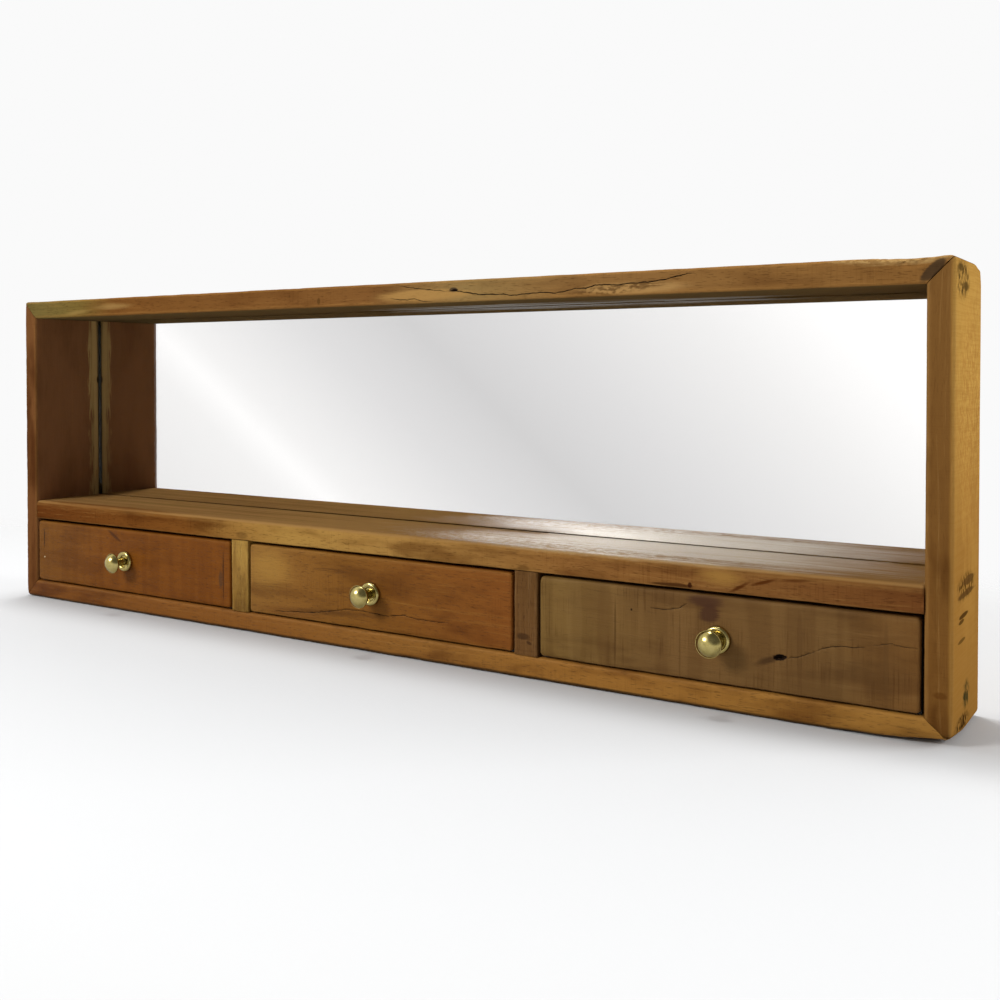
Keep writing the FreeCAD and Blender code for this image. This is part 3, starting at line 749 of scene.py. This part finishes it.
# drawer fronts: boards eased all round the face
frontShape = {"corner": 4.0, "arris": 2.5, "pitch": 2.5, "evenFrom": 7.0}
drawerLooks = {
    "left": {
        "seed": 8, "span": (-575, -212), "saw": 0.15, "rub": 0.15, "darkMost": 0.25, "lightMost": 0.18, "stain": 0.3,
        "band": 0.2, "light": "a06d2b",
        "tones": ((0.0, "6a4112"), (0.4, "6e3e0c"), (1.0, "6e3d0d")),
        "marks": (
            blot((-420, 95, -54.5), (20, 3, 20), "3a1f0d", 0.7, turn=-28.0),
            blot((-562, 81, -54.5), (1.4, 16, 20), "2a170a", 0.8),
            # painted shadow: a dark grey strip beside the dark line at the right end of this front
            blot((-229, 57, -54.5), (4, 13, 20), "3a2c20", 0.55),
            blot((-224.5, 63, -54.5), (1.5, 37, 20), "2a170a", 0.65),
            blot((-561.6, 55.9, -54.5), (1.3, 1.3, 8), "d0bd94", 0.9, torn=0.0),
        ),
    },
    "middle": {
        "seed": 9, "span": (-181, 181), "saw": 0.22, "rub": 0.2, "darkMost": 0.35, "lightMost": 0.25, "stain": 0.4,
        "light": "aa7f3c",
        "tones": ((0.0, "7e5726"), (0.2, "7c5220"), (0.4, "744a19"), (1.0, "764418")),
        "marks": (
            blot((-152, 76, -54.5), (46, 34, 20), "9d7535", 0.6, torn=0.9, soft=0.9),
            blot((-118, 31, -54.5), (80, 9, 20), "6a4018", 0.55, soft=0.9),
            blot((-55, 84, -54.5), (34, 3.5, 20), "40240f", 0.5, grained="fibre"),
            blot((-60, 37, -54.5), (95, 5, 20), "4a2c10", 0.6, turn=3.0, soft=0.9),
        ),
    },
    "right": {
        "seed": 10, "span": (212, 575), "dark": "3c2914", "light": "8a6b43", "saw": 0.35, "band": 0.25,
        "darkMost": 0.35, "lightMost": 0.25, "rub": 0.15, "stain": 0.35, "pores": 0.15,
        "tones": ((0.0, "72572c"), (0.4, "6d4f2b"), (0.8, "684b28"), (1.0, "6e4b24")),
        "marks": (
            blot((386, 98, -54.5), (24, 8, 20), "42281a", 0.85, torn=0.7),
            blot((391, 88, -54.5), (12, 11, 20), "42281a", 0.85, turn=20.0, torn=0.8),
            blot((252, 64, -54.5), (10, 60, 20), "86693c", 0.15, torn=0.2, soft=0.3),
            blot((285.5, 60, -54.5), (10, 60, 20), "5d4120", 0.4, torn=0.2, soft=0.3),
            blot((296, 58, -54.5), (1.2, 40, 20), "4a3116", 0.7, torn=0.4),
            blot((362, 50, -54.5), (1.2, 40, 20), "54391c", 0.5),
            blot((474, 66, -54.5), (3, 45, 20), "54391c", 0.5, torn=0.3),
            blot((547, 62, -54.5), (3, 45, 20), "54391c", 0.45, torn=0.3),
            blot((313, 82, -54.5), (1.3, 1.3, 20), "1c1008", 0.9),
            blot((446, 52, -54.5), (17, 4, 20), "33200f", 0.7, turn=24.0, soft=0.8),
        ),
    },
}
drawerCracks = {
    "left": (),
    "middle": (
        ([(-142, 29.5), (-126, 30.8), (-80, 34.7), (-45, 41.0), (-33, 43.6), (-10, 44.0), (22, 42.4), (45, 45.6),
          (62, 43.5), (85, 43.8), (104, 44.5)], 0.75, 2.2),
    ),
    "right": (
        ([(462, 56.0), (474, 58.7), (488, 65.5)], 0.7, 2.0),
        ([(488, 65.5), (499, 70.4), (510, 72.6), (522, 72.8), (531, 74.6)], 0.6, 1.8),
        ([(536, 76.6), (552, 80.1), (560, 78.6), (573, 78.3)], 0.5, 1.5),
        ([(332, 85.8), (346, 85.5), (361, 88.6), (370, 94.2)], 0.7, 2.0),
    ),
}
knotHole = {"x": 456.6, "z": 55.9, "half": (6.0, 2.8), "deep": 6.0, "turnDeg": 8.0}


def drawerFrontMesh(node):
    low, high = [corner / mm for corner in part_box(node)]
    corner, arris = frontShape["corner"], frontShape["arris"]
    evenFrom = frontShape["evenFrom"]
    fine = [0.0, 0.25, 0.7, 1.4, 2.3, 3.5, 5.0]  # close steps over the eased ends
    xs = [low.x + d for d in fine] + stepsBetween(low.x + evenFrom, high.x - evenFrom, frontShape["pitch"])
    xs += [high.x - d for d in reversed(fine)]
    rows = []
    for x in xs:
        away = min(x - low.x, high.x - x)
        drop = cornerDrop(away, corner)  # round corner of the outline
        face = low.y + cornerDrop(away, arris)  # eased end of the face
        bottom, top = low.z + drop, high.z - drop
        points = []
        runOf(points, (bottom, high.y), (bottom, face + arris), (high.y - face - arris) / 3)
        arcOf(points, (bottom + arris, face + arris), arris, 180, 270, 5)
        runOf(points, (bottom + arris, face), (top - arris, face), (top - bottom - 2 * arris) / 32)
        arcOf(points, (top - arris, face + arris), arris, 270, 360, 5)
        runOf(points, (top, face + arris), (top, high.y), (high.y - face - arris) / 3)
        runOf(points, (top, high.y), (bottom, high.y), (top - bottom) / 16)
        rows.append(points)
    wears = [wear for z, y, wear in rows[0]]
    return sweptMesh([[(x * mm, y * mm, z * mm) for z, y, wear in points] for x, points in zip(xs, rows)], wears)


for place in places:
    drawer = place + "_drawer"
    cutters = [crackCutter(path, drawerFaceY, wide, deep, i + 11)
               for i, (path, wide, deep) in enumerate(drawerCracks[place])]
    if place == "right":
        cutters.append(knotCutter(knotHole, drawerFaceY))
    boardPiece(drawer + "_front", drawerFrontMesh(drawer + "_front"), drawerLooks[place], drawer, cutters,
               [drawer + "_" + kind for kind in ("left_side", "right_side", "bottom", "knob_screw")])
print("drawer fronts made")

# mirror: one pane, silvered on its rear face, with a ground arris
paneShape = {"arris": 0.4, "clear": 0.08}


def mirrorPane():
    low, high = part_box("mirror_glass")
    low.y += paneShape["clear"] * mm  # clear of the steps and the panel, so that no two faces lie in one plane
    high.y -= paneShape["clear"] * mm
    bm = bmesh.new()
    bmesh.ops.create_cube(bm, size=1.0)
    for vert in bm.verts:
        vert.co = Vector([low[i] if vert.co[i] < 0 else high[i] for i in range(3)])
    bmesh.ops.bevel(bm, geom=bm.edges[:], offset=paneShape["arris"] * mm, segments=1, affect="EDGES")
    bm.normal_update()
    for face in bm.faces:
        face.material_index = 1 if face.normal.y > 0.9 else 0
    piece = meshObject("mirror_pane", bm, [glassMaterial, silverMaterial])
    piece.data.shade_flat()
    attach(piece, "case")
    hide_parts("mirror_glass")


mirrorPane()
print("mirror made")

# nodes that keep their CAD shape
nodeFinish = {"back_panel": plywoodMaterial, "mitre_tongues": pineMaterials[1], "shelf_dowels": pineMaterials[0],
              "divider_dowels": pineMaterials[2]}
for place in places:
    for kind, material in (("left_side", pineMaterials[1]), ("right_side", pineMaterials[1]),
                           ("rear", pineMaterials[0]), ("bottom", plywoodMaterial), ("rose", brassMaterial),
                           ("knob", brassMaterial), ("knob_screw", steelMaterial)):
        nodeFinish[place + "_drawer_" + kind] = material
for node, material in nodeFinish.items():
    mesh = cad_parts[node].data
    mesh.materials.clear()
    mesh.materials.append(material)
print("other nodes finished")

# floor, light and camera
studio = {"floor": "c5c6c7", "floorRim": "c6c6c6", "floorHalf": (1.7, 0.9), "whiteness": 1.15, "lens": 41.3,
          "tiltDeg": 1.124, "panDeg": 32.421, "eyeMm": (785.8, -1027.4, 306.2), "shift": (-0.0011, -0.1064),
          "behind": "ebebeb", "dim": "2c2c2c", "dimMost": 0.85, "dimTowards": (0.55, -0.4, 0.7),
          "bandSpan": (-0.4, 0.45)}
# the soft bands from left to right, as shares of the span
mirrorBands = ((0.03, "e8e8e8"), (0.14, "f0f0f0"), (0.182, "fbfbfb"), (0.215, "f1f1f1"), (0.34, "ddddde"),
               (0.45, "cfcfd0"), (0.57, "dbdbdc"), (0.75, "eeeeee"), (0.88, "fdfdfd"))
lamps = {  # places and sizes in metres
    "overhead": {"place": (-0.68, 0.52, 6.0), "aim": (0.0, 0.0, 0.0), "size": (1.3, 1.3), "watts": 250},
    "front_fill": {"place": (-1.3, -2.2, 1.6), "aim": (0.0, 0.0, 0.2), "size": (0.8, 0.7), "watts": 52},
    "right_fill": {"place": (2.6, 0.9, 1.2), "aim": (0.6, 0.0, 0.2), "size": (1.2, 1.2), "watts": 40},
}


def studioFloor():
    bm = bmesh.new()
    bmesh.ops.create_circle(bm, cap_ends=True, radius=1.0, segments=96)
    halfX, halfY = studio["floorHalf"]
    for vert in bm.verts:
        vert.co = Vector((vert.co.x * halfX, vert.co.y * halfY, 0.0))
    material, tree = emptyMaterial("studio_paper")
    add = partial(addNode, tree)
    spot = add("TexCoord").outputs["Object"]
    grain = add("TexNoise", {}, {"Vector": spot, "Scale": 1 / (2.5 * mm)})
    scaled = add("VectorMath", multiply, [spot, (1 / halfX, 1 / halfY, 1.0)])
    away = add("VectorMath", {"operation": "LENGTH"}, [scaled])
    speckle = add("MapRange", {}, [grain, 0.3, 0.7, -0.01, 0.01])
    part = add("Math", addUp, [away, speckle])
    colour = add("ValToRGB", {}, [part], stops=((0.2, studio["floor"]), (1.0, studio["floorRim"])))
    solid = add("MapRange", smooth, [away, 0.6, 1.0, 1.0, 0.0])  # the sheet fades into the white room
    finishMaterial(tree, {"Base Color": colour, "Roughness": 0.9, "Specular IOR Level": 0.1, "Alpha": solid})
    meshObject("studio_floor", bm, [material])


def studioWorld():  # white all round, with the soft bands that the mirror shows, and dark over the right front
    world = bpy.data.worlds.new("studio")
    bpy.context.scene.world = world
    world.use_nodes = True
    tree = world.node_tree
    tree.nodes.clear()
    add = partial(addNode, tree)
    pan, tilt = math.radians(studio["panDeg"]), math.radians(studio["tiltDeg"])
    bandAxis = (math.cos(pan) - math.sin(pan) * math.sin(tilt),
                -math.sin(pan) - math.cos(pan) * math.sin(tilt), math.cos(tilt))
    frontAxis = (-math.sin(pan) * math.cos(tilt), -math.cos(pan) * math.cos(tilt), -math.sin(tilt))
    ray = add("TexCoord").outputs["Generated"]
    aside = add("VectorMath", {"operation": "DOT_PRODUCT"}, [ray, bandAxis])
    ahead = add("VectorMath", {"operation": "DOT_PRODUCT"}, [ray, frontAxis])
    slant = add("Math", {"operation": "DIVIDE"}, [aside, add("Math", {"operation": "MAXIMUM"}, [ahead, 0.05])])
    low, high = studio["bandSpan"]
    part = add("MapRange", {}, [slant, low, high, 0.0, 1.0])
    bands = add("ValToRGB", {}, [part], stops=mirrorBands)
    facing = add("MapRange", smooth, [ahead, 0.1, 0.3, 0.0, 1.0])
    colour = add("Mix", mixColour, {0: facing, 6: linear(studio["behind"]), 7: bands})
    dim = add("VectorMath", {"operation": "DOT_PRODUCT"}, [ray, Vector(studio["dimTowards"]).normalized()])
    dimness = add("MapRange", smooth, [dim, 0.45, 0.8, 0.0, studio["dimMost"]])
    colour = add("Mix", mixColour, {0: dimness, 6: colour, 7: linear(studio["dim"])})
    light = add("Background", {}, {"Color": colour, "Strength": studio["whiteness"]})
    add("OutputWorld", {}, [light])


def softLight(name):
    settings = lamps[name]
    light = bpy.data.lights.new(name, "AREA")
    light.shape = "RECTANGLE"
    light.size, light.size_y = settings["size"]
    light.energy = settings["watts"]
    lamp = bpy.data.objects.new(name, light)
    lamp.location = settings["place"]
    aim = Vector(settings["aim"]) - Vector(settings["place"])
    lamp.rotation_euler = aim.to_track_quat("-Z", "Y").to_euler()
    bpy.context.scene.collection.objects.link(lamp)


def photoCamera():
    camera = bpy.data.cameras.new("camera")
    camera.sensor_width = 36.0
    camera.lens = studio["lens"]
    camera.shift_x, camera.shift_y = studio["shift"]
    eye = bpy.data.objects.new("camera", camera)
    eye.location = Vector(studio["eyeMm"]) * mm
    eye.rotation_euler = (math.radians(90 - studio["tiltDeg"]), 0, math.radians(studio["panDeg"]))
    bpy.context.scene.collection.objects.link(eye)
    bpy.context.scene.camera = eye


studioFloor()
studioWorld()
for name in lamps:
    softLight(name)
photoCamera()
bpy.context.scene.view_settings.view_transform = "Standard"
print("studio set")
